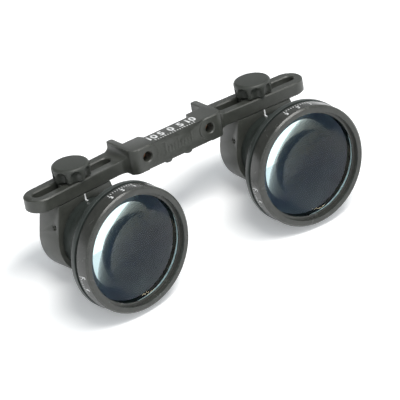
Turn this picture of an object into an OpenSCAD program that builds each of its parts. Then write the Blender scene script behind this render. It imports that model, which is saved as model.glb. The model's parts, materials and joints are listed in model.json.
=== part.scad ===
// Binocular loupes: two short telescopes on carriers that slide along a
// slotted bar. The origin is midway between the bar's two fixing holes, on
// its rear face. +X runs along the bar, -Y points to the objectives, +Z is up.

/* [Bar] */
// Half length of the raised middle block
block_half = 15.2; // [14.6:0.1:15.8]
// Depth of the block from its front face to its rear face
block_depth = 7.1; // [6.6:0.1:8]
// Height of the block's top above the fixing holes
block_rise = 3.1; // [2.8:0.1:3.6]
// Depth of the block's underside below the fixing holes
block_drop = 3.8; // [3.4:0.1:4.2]
// Radius of the block's front corners, seen from above
corner_r = 2.5; // [1.8:0.1:2.7]
// Radius of the hollow blend from the corners to the arms
blend_r = 3.3; // [2.4:0.1:3.6]
// Radius of the fillet from the arm's top up to the block's end
end_fillet_r = 2.2; // [1.6:0.1:2.3]
// Radius of the fillet from the arm's underside down to the block
under_fillet_r = 0.7; // [0.4:0.1:0.8]
// Width of each rear horn
horn_width = 2.1; // [1.8:0.1:2.4]
// Radius of the horns' rear corners
horn_round = 0.7; // [0.3:0.1:0.8]
// How far each horn reaches behind the arm's rear edge
horn_proud = 0.4; // [0.2:0.05:0.8]
// Half width of the rear notch at its floor
notch_half = 7.4; // [6:0.1:7.6]
// How much the notch widens on each side towards the rear
notch_flare = 0.6; // [0.2:0.1:0.7]
// Depth of the rear notch
notch_depth = 1.8; // [1:0.1:2.2]
// Width of the small chamfers along the top edges
edge_chamfer = 0.3; // [0.1:0.05:0.4]
// Depth of the sunk panel in the front face
panel_depth = 0.3; // [0.15:0.05:0.5]
// Radius of the round pads left around the fixing holes
pad_r = 3.3; // [2.8:0.1:3.6]
// Number of engraved ticks in the sunk panel
tick_count = 9; // [5:2:13]
// Distance between the engraved ticks
tick_pitch = 1.1; // [0.9:0.05:1.2]
// Width of an engraved tick
tick_width = 0.3; // [0.2:0.05:0.4]
// Depth of an engraved tick
tick_depth = 0.2; // [0.1:0.05:0.3]

/* [Fixing holes] */
// Distance between the two fixing holes
hole_spacing = 20.8; // [20.2:0.1:21.2]
// Radius of the open front part of each fixing hole
hole_r = 1.35; // [1.3:0.05:1.6]
// Width of the chamfer at the mouth of each hole
hole_chamfer = 0.25; // [0.1:0.05:0.4]
// Outer radius of the threaded bushes
bush_r = 1.9; // [1.8:0.05:2.1]
// Radius of the threaded bore in the bushes, at the thread's crests
bush_bore_r = 1; // [0.8:0.05:1.15]
// Length of the bushes, measured from the rear face
bush_length = 4; // [3:0.1:5]

/* [Locating pegs] */
// Distance between the two pegs
peg_spacing = 6.7; // [5:0.1:9]
// Radius of the pegs
peg_r = 1.3; // [1:0.05:1.5]
// How far the pegs stand below the block
peg_proud = 1.2; // [0.8:0.1:1.8]
// How deep the pegs are set into the block
peg_seat = 1.6; // [1:0.1:2]
// Height of the domed end of a peg
peg_dome = 0.7; // [0.4:0.05:1]
// Distance of the pegs' centres behind the front face
peg_inset = 1.9; // [1.8:0.1:2.4]

/* [Arms] */
// Distance from the middle of the bar to the arm's tip
arm_end = 45.9; // [44:0.1:50]
// Width of the arms
arm_width = 8.8; // [8.4:0.1:9.4]
// Thickness of the arms
arm_thickness = 3.7; // [3.3:0.1:3.8]
// Height of the arm's top above the fixing holes
arm_rise = 0.65; // [0.5:0.05:0.8]
// Distance of the arms' centre lines behind the rear face, at mid-bar
arm_setback = 1.15; // [1:0.05:1.3]
// Angle by which each arm is swept forward and each telescope turned in
converge = 3.5; // [2.5:0.1:4]
// Width of the slot in each arm
slot_width = 3.2; // [3:0.1:3.4]
// Distance from mid-bar to the slot's inner end
slot_inner = 17.9; // [17.8:0.1:18.6]
// Wall left between the slot and the arm's tip
slot_end_wall = 2.3; // [1.8:0.1:3]

/* [Carriers] */
// Distance from mid-bar to the telescopes' axes, along the arms
telescope_u = 30.5; // [29:0.1:33]
// Depth of a carrier from front to rear
carrier_depth = 8.4; // [8:0.1:9]
// Half width of a carrier at its top
carrier_top_half = 8.7; // [8.2:0.1:9.2]
// Wall of a carrier around the barrel
carrier_wall = 1.55; // [1.4:0.05:1.8]
// Thickness of a carrier between the barrel and the arm
carrier_web = 1.72; // [1.6:0.02:2.4]
// Gap between a carrier's top and the arm's underside
slide_gap = 0.1; // [0.05:0.01:0.2]
// Distance of the guide pins from the clamp stud
pin_offset = 3.2; // [3:0.1:3.6]
// Clearance between the guide pins and the slot's sides
pin_clearance = 0.08; // [0.03:0.01:0.1]
// Depth of the guide pins in the carrier
pin_seat = 1.4; // [0.8:0.1:1.4]
// How far the guide pins end below the arm's top
pin_recess = 0.35; // [0.2:0.05:0.8]
// Radius of the grub screws
grub_r = 0.85; // [0.7:0.05:1]
// Height of the grub screws above the telescope axis
grub_height = 5.4; // [4:0.1:5.6]
// Distance of the grub screws ahead of the carrier's middle
grub_forward = 2.4; // [0:0.1:2.8]
// Radius of the grub screws' sockets
grub_socket_r = 0.45; // [0.35:0.05:0.5]
// Depth of the grub screws' sockets
grub_socket_depth = 0.7; // [0.4:0.1:0.9]
// How far the grub screws sit below the carrier's side
grub_recess = 0.25; // [0.15:0.05:0.4]

/* [Clamp knobs] */
// Radius of a knob
knob_r = 5.1; // [4.4:0.1:5.2]
// Height of a knob
knob_height = 3.9; // [3.4:0.1:4.5]
// Thickness of the knob above its stud
knob_cap = 1.5; // [1:0.1:2]
// Radius of the rounding around the knob's top
knob_round = 0.9; // [0.5:0.1:1.1]
// Number of flutes around a knob
flute_count = 8; // [6:1:9]
// Radius of a flute
flute_r = 1.9; // [1.5:0.1:2]
// How deep a flute bites into the knob
flute_bite = 1; // [0.7:0.05:1.1]
// Height left above the flutes
flute_land = 0.5; // [0.4:0.05:0.8]
// Radius of the clamp stud
stud_r = 1.2; // [1:0.05:1.25]
// Gap between the stud's lower end and the barrel
stud_standoff = 0.35; // [0.2:0.05:0.6]
// Radius of the washer under the knob
washer_r = 3.6; // [3.2:0.1:4]
// Thickness of the washer
washer_thickness = 0.25; // [0.2:0.05:0.5]
// Radial clearance around the stud
stud_clearance = 0.05; // [0.03:0.01:0.08]

/* [Objective end] */
// Distance of the ring's front ahead of the arm's centre line
front_reach = 23.7; // [22.5:0.1:25]
// Radius of the lens seat in the ring
lens_r = 15; // [14.4:0.1:15.6]
// How far the ring's front opening is wider than the lens seat
bezel_step = 0.3; // [0.2:0.05:0.6]
// Width of the ring's front face, with its bevel
ring_wall = 1.7; // [1.5:0.05:2]
// Length of the front ring that shows
ring_length = 4.3; // [3.8:0.1:4.6]
// Radial width of the rounded bevel around the ring's front edge
bevel_width = 0.5; // [0.3:0.05:1]
// Depth of the rounded bevel around the ring's front edge
bevel_depth = 0.5; // [0.2:0.05:0.8]
// Radial width of the lip in front of the lens
lip_width = 0.5; // [0.4:0.05:0.8]
// Thickness of the lip in front of the lens
lip_thickness = 0.5; // [0.4:0.05:0.6]
// Distance of the lens edge behind the ring's front
lens_setback = 2; // [1.9:0.05:2.2]
// Wall of the ring's threaded sleeve
sleeve_wall = 0.95; // [0.8:0.05:1.1]
// Length of the sleeve inside the housing
sleeve_length = 2.4; // [2.2:0.1:3]
// Length of the housing's thread past the sleeve
thread_runout = 0.15; // [0.1:0.05:0.3]
// Width of the housing's inner shoulder behind the thread
thread_shoulder = 1; // [0.6:0.1:1.2]
// Width of the groove that holds the seal
seal_groove = 0.7; // [0.6:0.05:0.9]
// How far the housing's front flange stands out past the ring
flange_proud = 0.15; // [0.05:0.05:0.6]
// Thickness of the housing's front flange
flange_thickness = 1.4; // [1:0.05:1.6]
// Radial width of the retaining ring behind the lens
retainer_width = 1.1; // [0.8:0.1:1.6]
// Thickness of the retaining ring behind the lens
retainer_thickness = 0.7; // [0.5:0.05:0.8]

/* [Lenses] */
// Radius of curvature of the objective's front face
crown_front_rc = 60; // [54:1:90]
// Radius of curvature of the cemented face
cement_rc = 70; // [62:1:90]
// Radius of curvature of the objective's rear face
flint_rear_rc = 45; // [42:1:60]
// Edge thickness of the front element
crown_edge = 1; // [0.9:0.05:1.1]
// Edge thickness of the rear element
flint_edge = 2; // [1.8:0.05:2.1]
// Radius of curvature of the eyepiece lens faces
eye_rc = 17; // [16:1:24]
// Centre thickness of the eyepiece lens
eye_centre = 1.2; // [1:0.1:1.4]

/* [Housing and eyepiece] */
// Wall of the housing over the thread
housing_wall = 0.5; // [0.4:0.05:0.8]
// Outer radius of the barrel in the carrier
barrel_r = 9.5; // [9.3:0.1:9.8]
// Wall of the barrel
barrel_wall = 1.15; // [1:0.05:1.3]
// How far the barrel stands behind the carrier
barrel_proud = 0.6; // [0.4:0.1:1]
// Length of the straight wall between the thread and the flare
flare_land = 0.1; // [0.05:0.05:0.3]
// Length of the barrel that shows ahead of the carrier
neck_length = 0.8; // [0.5:0.1:1.5]
// Bulge of the flare, where 1 is a straight cone
flare_power = 1.6; // [1.2:0.1:2]
// Thickness of the eyepiece flange behind the barrel
eye_flange = 1.8; // [1.4:0.1:2.4]
// How much the eyepiece flange is smaller than the barrel, in radius
eye_flange_inset = 0.3; // [0.2:0.05:0.5]
// Length of the eyepiece tube inside the barrel
eye_tube_length = 5.5; // [5:0.1:7]
// Wall of the eyepiece tube around its lens
eye_tube_wall = 0.89; // [0.7:0.01:1.2]
// Radial width of the shoulder in front of the eyepiece lens
eye_step = 0.5; // [0.3:0.05:0.7]
// Thickness of the eyepiece retaining ring
eye_retainer_thickness = 0.8; // [0.6:0.1:1]
// Radial width of the eyepiece retaining ring
eye_retainer_width = 1; // [0.6:0.1:1.4]
// How far the eyepiece retaining ring sits inside the tube's rear rim
eye_recess = 0.3; // [0.1:0.05:0.5]
// Radial width of the light baffle
baffle_width = 1.52; // [1.2:0.02:2]
// Length of the light baffle
baffle_length = 1; // [0.8:0.1:1.4]
// Distance of the light baffle behind the barrel's front end
baffle_inset = 1.2; // [0.6:0.1:2]

/* [Hidden] */
$fn = 96;
left = -1;
right = 1;
seat_gap = 0.03;       // gap between pieces that are pressed or screwed together
face_gap = 0.02;       // gap between faces that rest on each other
cut = 1;               // how far a cutting shape runs past the face it cuts
lens_fn = 180;         // facets round the shallow lens faces
corner_turn = 80;      // how far the front chamfer runs round each corner
corner_bulge = 0.22;   // how far the rounded corners stand out past the block's ends
tick_rise = 1.6;       // how far below the holes the engraved ticks start
long_tick_every = 4;   // how many ticks apart the long ones are
long_tick = 3;         // height of the long ticks
short_tick = 1.7;      // height of the other ticks
bevel_steps = 6;       // cone faces that round the ring's bevel
flare_steps = 12;      // cone faces that make the housing's flare

arm_half = arm_width / 2;
arm_bottom = arm_rise - arm_thickness;
arm_tip_u = arm_end - arm_half;                    // centre of the round tip
slot_half = slot_width / 2;
slot_start_u = slot_inner + slot_half;             // centre of the inner slot end
slot_end_u = arm_end - slot_end_wall - slot_half;  // centre of the outer slot end
horn_inner = block_half - horn_width;
arm_front_at_block = arm_setback - block_half * tan(converge) - arm_half / cos(converge);
arm_rear_at_block = arm_setback - block_half * tan(converge) + arm_half / cos(converge);
horn_tip_y = arm_rear_at_block + horn_proud;
fillet_inset = 0.5;    // how far the end fillets stay in front of the arms' rear faces
corner_x = block_half + corner_bulge - corner_r;   // where the front face starts to turn
blend_depth = arm_front_at_block + block_depth;
blend_angle = acos(1 - blend_depth / (corner_r + blend_r));
blend_x = corner_x + (corner_r + blend_r) * sin(blend_angle);
under_step = arm_bottom + block_drop;

carrier_top = arm_bottom - slide_gap;              // above the fixing holes
carrier_half = carrier_depth / 2;
carrier_bore_r = barrel_r + seat_gap;
carrier_top_h = carrier_bore_r + carrier_web;      // above the telescope axis
axis_drop = carrier_top_h - carrier_top;           // from the fixing holes to the axis
carrier_round_r = carrier_bore_r + carrier_wall;
pin_r = slot_half - pin_clearance;
pin_top = arm_rise - pin_recess;
carrier_reach = sqrt(pow(carrier_top_half, 2) + pow(carrier_top_h, 2));
carrier_flare = asin(carrier_round_r / carrier_reach) - atan2(carrier_top_half, carrier_top_h);
grub_side = (carrier_round_r - grub_height * sin(carrier_flare)) / cos(carrier_flare);
grub_tip = sqrt(pow(barrel_r, 2) - pow(grub_height - grub_r, 2)) + face_gap;

washer_bottom = arm_rise + face_gap;
knob_bottom = washer_bottom + washer_thickness + face_gap;
knob_top = knob_bottom + knob_height;
stud_bore_r = stud_r + stud_clearance;
stud_bottom = barrel_r - axis_drop + stud_standoff;
stud_top = knob_top - knob_cap;

// Lengths along a telescope are measured back from the ring's front face.
seal_start = ring_length;
flange_start = seal_start + seal_groove;
flange_end = flange_start + flange_thickness;
bezel_r = lens_r + bezel_step;
ring_r = bezel_r + ring_wall;
sleeve_r = lens_r + sleeve_wall;
flange_r = ring_r + flange_proud;
sleeve_end = ring_length + sleeve_length;
thread_end = sleeve_end + thread_runout;
carrier_front_t = front_reach - carrier_half;
barrel_end = front_reach + carrier_half + barrel_proud;
neck_start = carrier_front_t - neck_length;
flare_start = thread_end + flare_land;
housing_bore_r = sleeve_r + seat_gap;
housing_r = housing_bore_r + housing_wall;
shoulder_r = housing_bore_r - thread_shoulder;
barrel_bore_r = barrel_r - barrel_wall;
crown_back = lens_setback + crown_edge;
flint_front = crown_back + face_gap;
flint_back = flint_front + flint_edge;
seal_wire_r = seal_groove / 2 - face_gap;
tube_r = barrel_bore_r - seat_gap;
tube_bore_r = tube_r - eye_tube_wall;
eye_lens_r = tube_bore_r - seat_gap;
eye_flange_r = barrel_r - eye_flange_inset;
tube_start = barrel_end - eye_tube_length;
tube_end = barrel_end + face_gap + eye_flange;
eye_sag = sag(eye_rc, eye_lens_r);
eye_edge = eye_centre + 2 * eye_sag;
eye_lens_back = tube_end - eye_retainer_thickness - eye_recess;
baffle_start = neck_start + baffle_inset;
crown_vertex = lens_setback - sag(crown_front_rc, lens_r);
flint_vertex = flint_back + sag(flint_rear_rc, lens_r);
lip_r = lens_r - lip_width;
lip_end = crown_vertex + sag(crown_front_rc, lip_r) - face_gap;
retainer_bore_r = lens_r - retainer_width;
retainer_front = flint_vertex - sag(flint_rear_rc, retainer_bore_r) + face_gap;

// Depth of a spherical face of radius rc across a lens of radius r.
function sag(rc, r) = rc - sqrt(rc * rc - r * r);

// Outer radius of the housing along the flare, from 0 at its start to 1 at the neck.
function flare_r(f, r0, r1) = r1 + (r0 - r1) * pow(1 - f, flare_power);

bar_color = [0.20, 0.21, 0.19];
metal_color = [0.62, 0.60, 0.55];
brass_color = [0.72, 0.58, 0.32];
glass_color = [0.55, 0.68, 0.72, 0.6];

// Places a side's pieces along its arm: u outward, v rearward, z up.
module arm_frame(side) {
  mirror([side == left ? 1 : 0, 0, 0])
    translate([0, arm_setback, 0])
      rotate([0, 0, -converge])
        children();
}

// Places a side's pieces over its telescope, still in the arm's directions.
module carrier_frame(side) {
  arm_frame(side) translate([telescope_u, 0, 0]) children();
}

// Turns a telescope's pieces from +Z, which is rearward, to lie along the axis.
module telescope_frame(side) {
  carrier_frame(side)
    translate([0, -front_reach, -axis_drop])
      rotate([-90, 0, 0])
        children();
}

// A straight run between two places along the arm, with round ends.
module round_run(from_u, to_u) {
  translate([from_u, 0, 0])
    rotate([90, 0, 90])
      linear_extrude(height = to_u - from_u)
        union() {
          children();
          mirror([1, 0]) children();
        }
  translate([to_u, 0, 0]) rotate_extrude() children();
  translate([from_u, 0, 0]) rotate_extrude() children();
}

module arm_section() {
  polygon([
    [0, arm_bottom],
    [arm_half - edge_chamfer, arm_bottom],
    [arm_half, arm_bottom + edge_chamfer],
    [arm_half, arm_rise - edge_chamfer],
    [arm_half - edge_chamfer, arm_rise],
    [0, arm_rise]
  ]);
}

module slot_section() {
  polygon([
    [0, arm_bottom - cut],
    [slot_half, arm_bottom - cut],
    [slot_half, arm_rise - edge_chamfer],
    [slot_half + edge_chamfer + cut, arm_rise + cut],
    [0, arm_rise + cut]
  ]);
}

// Half of the block seen from above, with the blend from its corner to the arm.
module block_plan_half() {
  difference() {
    union() {
      translate([0, -block_depth]) square([corner_x, block_depth]);
      translate([corner_x, corner_r - block_depth]) circle(corner_r);
      polygon([
        [0, corner_r - block_depth],
        [corner_x, corner_r - block_depth],
        [corner_x + corner_r * sin(blend_angle),
         corner_r - block_depth - corner_r * cos(blend_angle)],
        [blend_x, arm_front_at_block],
        [blend_x, arm_rear_at_block - (blend_x - block_half) * tan(converge) - fillet_inset],
        [block_half, arm_rear_at_block - fillet_inset],
        [block_half, horn_tip_y - horn_round],
        [horn_inner, horn_tip_y - horn_round],
        [horn_inner, 0],
        [0, 0]
      ]);
      translate([horn_inner, 0]) square([horn_width, horn_tip_y - horn_round]);
      translate([horn_inner + horn_round, horn_tip_y - horn_round]) {
        circle(horn_round);
        translate([horn_width - 2 * horn_round, 0]) circle(horn_round);
        square([horn_width - 2 * horn_round, horn_round]);
      }
    }
    translate([blend_x, arm_front_at_block - blend_r]) circle(blend_r);
  }
}

// The middle of the bar seen from the front: block, end fillets and steps.
module block_elevation_half() {
  difference() {
    union() {
      translate([0, -block_drop]) square([block_half, block_drop + block_rise]);
      translate([0, arm_bottom]) square([blend_x, arm_thickness]);
      translate([block_half, arm_rise]) square(end_fillet_r);
      translate([block_half, -block_drop]) square([under_fillet_r, under_step]);
    }
    translate([block_half + end_fillet_r, arm_rise + end_fillet_r]) circle(end_fillet_r);
    translate([block_half + under_fillet_r, arm_bottom - under_fillet_r])
      circle(under_fillet_r);
    translate([block_half, -block_drop - cut])
      square([under_fillet_r + cut, under_step - under_fillet_r + cut]);
  }
}

// Shapes both halves of the middle block at once.
module both_halves() {
  children();
  mirror([1, 0, 0]) children();
}

module block() {
  both_halves()
    intersection() {
      translate([0, 0, -block_drop])
        linear_extrude(height = block_drop + block_rise)
          block_plan_half();
      translate([0, horn_tip_y + cut, 0])
        rotate([90, 0, 0])
          linear_extrude(height = block_depth + horn_tip_y + 2 * cut)
            block_elevation_half();
    }
}

// Cuts the chamfer along the block's front top edge and round its corners.
module front_edge_cut() {
  translate([-corner_x, 0, 0])
    rotate([90, 0, 90])
      linear_extrude(height = 2 * corner_x)
        translate([-block_depth, block_rise - edge_chamfer])
          polygon([[-cut, -cut], [edge_chamfer + cut, edge_chamfer + cut],
                   [-cut, edge_chamfer + cut]]);
  both_halves()
    translate([corner_x, corner_r - block_depth, block_rise - edge_chamfer])
      rotate([0, 0, -90])
        rotate_extrude(angle = corner_turn)
          translate([corner_r - edge_chamfer, 0])
            polygon([[-cut, edge_chamfer + cut], [edge_chamfer + cut, -cut],
                     [edge_chamfer + cut, edge_chamfer + cut]]);
}

// The notch in the middle of the rear face.
module rear_notch() {
  mouth = notch_half + notch_flare * (notch_depth + cut) / notch_depth;
  translate([0, 0, -block_drop - cut])
    linear_extrude(height = block_drop + block_rise + 2 * cut)
      polygon([[-notch_half, -notch_depth], [notch_half, -notch_depth],
               [mouth, cut], [-mouth, cut]]);
}

// The open space between the horns, behind the rear face.
module horn_space() {
  translate([-horn_inner, 0, -block_drop - cut])
    cube([2 * horn_inner, horn_tip_y + cut, block_drop + block_rise + 2 * cut]);
}

// One fixing hole: open at the front, with a wider seat for its bush.
module fixing_hole_cut() {
  rotate([90, 0, 0]) {
    translate([0, 0, -cut]) cylinder(r = hole_r, h = block_depth + 2 * cut);
    translate([0, 0, -cut]) cylinder(r = bush_r + seat_gap, h = bush_length + face_gap + cut);
    translate([0, 0, block_depth - hole_chamfer])
      cylinder(r1 = hole_r, r2 = hole_r + hole_chamfer + cut, h = hole_chamfer + cut);
  }
}

// The sunk panel between the two hole pads, with its engraved ticks.
module front_panel_cut() {
  translate([0, -block_depth - cut, 0]) {
    difference() {
      translate([-hole_spacing / 2, 0, -block_drop - cut])
        cube([hole_spacing, panel_depth + cut, block_drop + block_rise + 2 * cut]);
      for (side = [left, right])
        translate([side * hole_spacing / 2, -cut, 0])
          rotate([-90, 0, 0])
            cylinder(r = pad_r, h = panel_depth + 3 * cut);
    }
    for (i = [0 : tick_count - 1]) {
      tick_height = i % long_tick_every == 0 ? long_tick : short_tick;
      translate([(i - (tick_count - 1) / 2) * tick_pitch - tick_width / 2, 0, -tick_rise])
        cube([tick_width, panel_depth + tick_depth + cut, tick_height]);
    }
  }
}

module peg_places() {
  for (side = [left, right])
    translate([side * peg_spacing / 2, peg_inset - block_depth, -block_drop])
      children();
}

module bridge_bar() {
  color(bar_color)
    difference() {
      union() {
        block();
        for (side = [left, right])
          arm_frame(side) round_run(arm_half, arm_tip_u) arm_section();
      }
      for (side = [left, right]) {
        arm_frame(side) round_run(slot_start_u, slot_end_u) slot_section();
        translate([side * hole_spacing / 2, 0, 0]) fixing_hole_cut();
      }
      horn_space();
      rear_notch();
      front_edge_cut();
      front_panel_cut();
      peg_places() cylinder(r = peg_r + seat_gap, h = peg_seat + face_gap);
    }
}

module threaded_bushes() {
  color(brass_color)
    for (side = [left, right])
      translate([side * hole_spacing / 2, 0, 0])
        rotate([90, 0, 0])
          difference() {
            cylinder(r = bush_r, h = bush_length);
            translate([0, 0, -cut]) cylinder(r = bush_bore_r, h = bush_length + 2 * cut);
          }
}

// Short pins with domed lower ends.
module locating_pegs() {
  dome_rc = (peg_r * peg_r + peg_dome * peg_dome) / (2 * peg_dome);
  color(bar_color)
    peg_places()
      intersection() {
        translate([0, 0, -peg_proud]) cylinder(r = peg_r, h = peg_proud + peg_seat);
        translate([0, 0, dome_rc - peg_proud]) sphere(r = dome_rc);
      }
}

// Carrier seen from the front: flat top, flared sides, round foot.
module carrier_outline() {
  circle(carrier_round_r);
  polygon([
    [carrier_top_half, carrier_top_h],
    [-carrier_top_half, carrier_top_h],
    [-carrier_round_r * cos(carrier_flare), carrier_round_r * sin(carrier_flare)],
    [carrier_round_r * cos(carrier_flare), carrier_round_r * sin(carrier_flare)]
  ]);
}

// One grub screw in each flared side, pointing inward.
module grub_places() {
  for (m = [0, 1])
    mirror([m, 0, 0])
      translate([grub_side, -grub_forward, grub_height - axis_drop])
        rotate([0, -90, 0])
          children();
}

module pin_places() {
  for (s = [-1, 1])
    translate([s * pin_offset, 0, 0])
      children();
}

module carrier(side) {
  color(bar_color)
    carrier_frame(side)
      difference() {
        translate([0, carrier_half, -axis_drop])
          rotate([90, 0, 0])
            linear_extrude(height = carrier_depth)
              carrier_outline();
        translate([0, carrier_half + cut, -axis_drop])
          rotate([90, 0, 0])
            cylinder(r = carrier_bore_r, h = carrier_depth + 2 * cut);
        translate([0, 0, -axis_drop])
          cylinder(r = stud_bore_r, h = axis_drop);
        pin_places()
          translate([0, 0, carrier_top - pin_seat])
            cylinder(r = pin_r + seat_gap, h = pin_seat + cut);
        grub_places()
          translate([0, 0, -cut])
            cylinder(r = grub_r + seat_gap, h = grub_side + cut);
      }
}

module guide_pins(side) {
  color(metal_color)
    carrier_frame(side)
      pin_places()
        translate([0, 0, carrier_top - pin_seat + face_gap])
          cylinder(r = pin_r, h = pin_top - carrier_top + pin_seat - face_gap);
}

module grub_screws(side) {
  grub_length = grub_side - grub_tip - grub_recess;
  color(metal_color)
    carrier_frame(side)
      grub_places()
        translate([0, 0, grub_recess])
          difference() {
            cylinder(r = grub_r, h = grub_length);
            translate([0, 0, -cut])
              cylinder(r = grub_socket_r, h = cut + grub_socket_depth, $fn = 6);
          }
}

module clamp_washer(side) {
  color(metal_color)
    carrier_frame(side)
      translate([0, 0, washer_bottom])
        difference() {
          cylinder(r = washer_r, h = washer_thickness);
          translate([0, 0, -cut])
            cylinder(r = stud_bore_r, h = washer_thickness + 2 * cut);
        }
}

module clamp_stud(side) {
  color(metal_color)
    carrier_frame(side)
      translate([0, 0, stud_bottom])
        cylinder(r = stud_r, h = stud_top - stud_bottom);
}

// Knob with a rounded rim and arched flutes on its side.
module clamp_knob(side) {
  flute_axis_r = knob_r + flute_r - flute_bite;
  flute_top = knob_top - flute_land - flute_r;
  color(bar_color)
    carrier_frame(side)
      difference() {
        rotate_extrude() {
          translate([0, knob_bottom]) square([knob_r, knob_height - knob_round]);
          translate([0, knob_bottom]) square([knob_r - knob_round, knob_height]);
          translate([knob_r - knob_round, knob_top - knob_round]) circle(knob_round);
        }
        translate([0, 0, knob_bottom - cut])
          cylinder(r = stud_r + seat_gap, h = stud_top + face_gap - knob_bottom + cut);
        for (i = [0 : flute_count - 1])
          rotate([0, 0, (i + 0.5) * 360 / flute_count])
            translate([flute_axis_r, 0, 0]) {
              translate([0, 0, knob_bottom - cut])
                cylinder(r = flute_r, h = flute_top - knob_bottom + cut);
              translate([0, 0, flute_top]) sphere(r = flute_r);
            }
      }
}

// A tube between two places along the telescope.
module tube_run(from_t, to_t, outer, inner) {
  translate([0, 0, from_t])
    difference() {
      cylinder(r = outer, h = to_t - from_t);
      translate([0, 0, -cut]) cylinder(r = inner, h = to_t - from_t + 2 * cut);
    }
}

// Front ring: bevel, bezel, lip, lens seat and threaded sleeve in one turned piece.
module objective_ring(side) {
  bore = lens_r + seat_gap;
  color(bar_color)
    telescope_frame(side)
      rotate_extrude()
        polygon(concat(
          [[bezel_r, 0]],
          [for (i = [0 : bevel_steps])
            [ring_r - bevel_width * (1 - sin(90 * i / bevel_steps)),
             bevel_depth * (1 - cos(90 * i / bevel_steps))]],
          [[ring_r, ring_length],
           [sleeve_r, ring_length],
           [sleeve_r, sleeve_end],
           [bore, sleeve_end],
           [bore, lip_end],
           [lip_r, lip_end],
           [lip_r, lip_end - lip_thickness],
           [bezel_r, lip_end - lip_thickness]]
        ));
}

module ring_seal(side) {
  color("black")
    telescope_frame(side)
      rotate_extrude()
        translate([sleeve_r + seat_gap + seal_wire_r, seal_start + seal_groove / 2])
          circle(seal_wire_r);
}

// Housing: flange, threaded front, flare and barrel, hollow all through.
module objective_housing(side) {
  color(bar_color)
    telescope_frame(side)
      rotate_extrude()
        polygon(concat(
          [[housing_bore_r, flange_start], [flange_r, flange_start],
           [flange_r, flange_end], [housing_r, flange_end]],
          [for (i = [0 : flare_steps])
            [flare_r(i / flare_steps, housing_r, barrel_r),
             flare_start + (neck_start - flare_start) * i / flare_steps]],
          [[barrel_r, barrel_end], [barrel_bore_r, barrel_end]],
          [for (i = [flare_steps : -1 : 0])
            [flare_r(i / flare_steps, shoulder_r, barrel_bore_r),
             flare_start + (neck_start - flare_start) * i / flare_steps]],
          [[shoulder_r, thread_end], [housing_bore_r, thread_end]]
        ));
}

module objective_crown(side) {
  color(glass_color)
    telescope_frame(side)
      intersection() {
        translate([0, 0, crown_vertex - cut])
          cylinder(r = lens_r, h = flint_vertex - crown_vertex + cut);
        translate([0, 0, crown_vertex + crown_front_rc])
          sphere(r = crown_front_rc, $fn = lens_fn);
        translate([0, 0, crown_back + sag(cement_rc, lens_r) - cement_rc])
          sphere(r = cement_rc, $fn = lens_fn);
      }
}

module objective_flint(side) {
  color(glass_color)
    telescope_frame(side)
      difference() {
        intersection() {
          translate([0, 0, flint_front])
            cylinder(r = lens_r, h = flint_vertex - flint_front + cut);
          translate([0, 0, flint_vertex - flint_rear_rc])
            sphere(r = flint_rear_rc, $fn = lens_fn);
        }
        translate([0, 0, flint_front + sag(cement_rc, lens_r) - cement_rc])
          sphere(r = cement_rc, $fn = lens_fn);
      }
}

module objective_retainer(side) {
  color(bar_color)
    telescope_frame(side)
      tube_run(retainer_front, retainer_front + retainer_thickness, lens_r, retainer_bore_r);
}

module light_baffle(side) {
  color(bar_color)
    telescope_frame(side)
      tube_run(baffle_start, baffle_start + baffle_length, tube_r, tube_r - baffle_width);
}

// Eyepiece tube with its flange, a shoulder for the lens and a rounded rim.
module eyepiece_tube(side) {
  flange_front = barrel_end + face_gap;
  shoulder = eye_lens_back - eye_edge - face_gap;
  rim_round = eye_flange / 2;
  color(bar_color)
    telescope_frame(side)
      rotate_extrude()
        difference() {
          polygon([
            [tube_r, tube_start],
            [tube_r, flange_front],
            [eye_flange_r, flange_front],
            [eye_flange_r, tube_end],
            [tube_bore_r, tube_end],
            [tube_bore_r, shoulder],
            [tube_bore_r - eye_step, shoulder],
            [tube_bore_r - eye_step, tube_start]
          ]);
          difference() {
            translate([eye_flange_r - rim_round, tube_end - rim_round])
              square([rim_round + cut, rim_round + cut]);
            translate([eye_flange_r - rim_round, tube_end - rim_round]) circle(rim_round);
          }
        }
}

// Hollow on both faces, as the eye lens of a simple telescope is.
module eyepiece_lens(side) {
  front = eye_lens_back - eye_edge;
  color(glass_color)
    telescope_frame(side)
      difference() {
        translate([0, 0, front]) cylinder(r = eye_lens_r, h = eye_edge);
        translate([0, 0, front + eye_sag - eye_rc]) sphere(r = eye_rc, $fn = lens_fn);
        translate([0, 0, eye_lens_back - eye_sag + eye_rc]) sphere(r = eye_rc, $fn = lens_fn);
      }
}

module eyepiece_retainer(side) {
  color(bar_color)
    telescope_frame(side)
      tube_run(eye_lens_back + face_gap, eye_lens_back + face_gap + eye_retainer_thickness,
               eye_lens_r, eye_lens_r - eye_retainer_width);
}

bridge_bar();
threaded_bushes();
locating_pegs();
carrier(left);  // carrier_left
guide_pins(left);  // guide_pins_left
grub_screws(left);  // grub_screws_left
clamp_washer(left);  // clamp_washer_left
clamp_stud(left);  // clamp_stud_left
clamp_knob(left);  // clamp_knob_left
objective_housing(left);  // objective_housing_left
objective_ring(left);  // objective_ring_left
ring_seal(left);  // ring_seal_left
objective_crown(left);  // objective_crown_left
objective_flint(left);  // objective_flint_left
objective_retainer(left);  // objective_retainer_left
light_baffle(left);  // light_baffle_left
eyepiece_tube(left);  // eyepiece_tube_left
eyepiece_lens(left);  // eyepiece_lens_left
eyepiece_retainer(left);  // eyepiece_retainer_left
carrier(right);  // carrier_right
guide_pins(right);  // guide_pins_right
grub_screws(right);  // grub_screws_right
clamp_washer(right);  // clamp_washer_right
clamp_stud(right);  // clamp_stud_right
clamp_knob(right);  // clamp_knob_right
objective_housing(right);  // objective_housing_right
objective_ring(right);  // objective_ring_right
ring_seal(right);  // ring_seal_right
objective_crown(right);  // objective_crown_right
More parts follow.
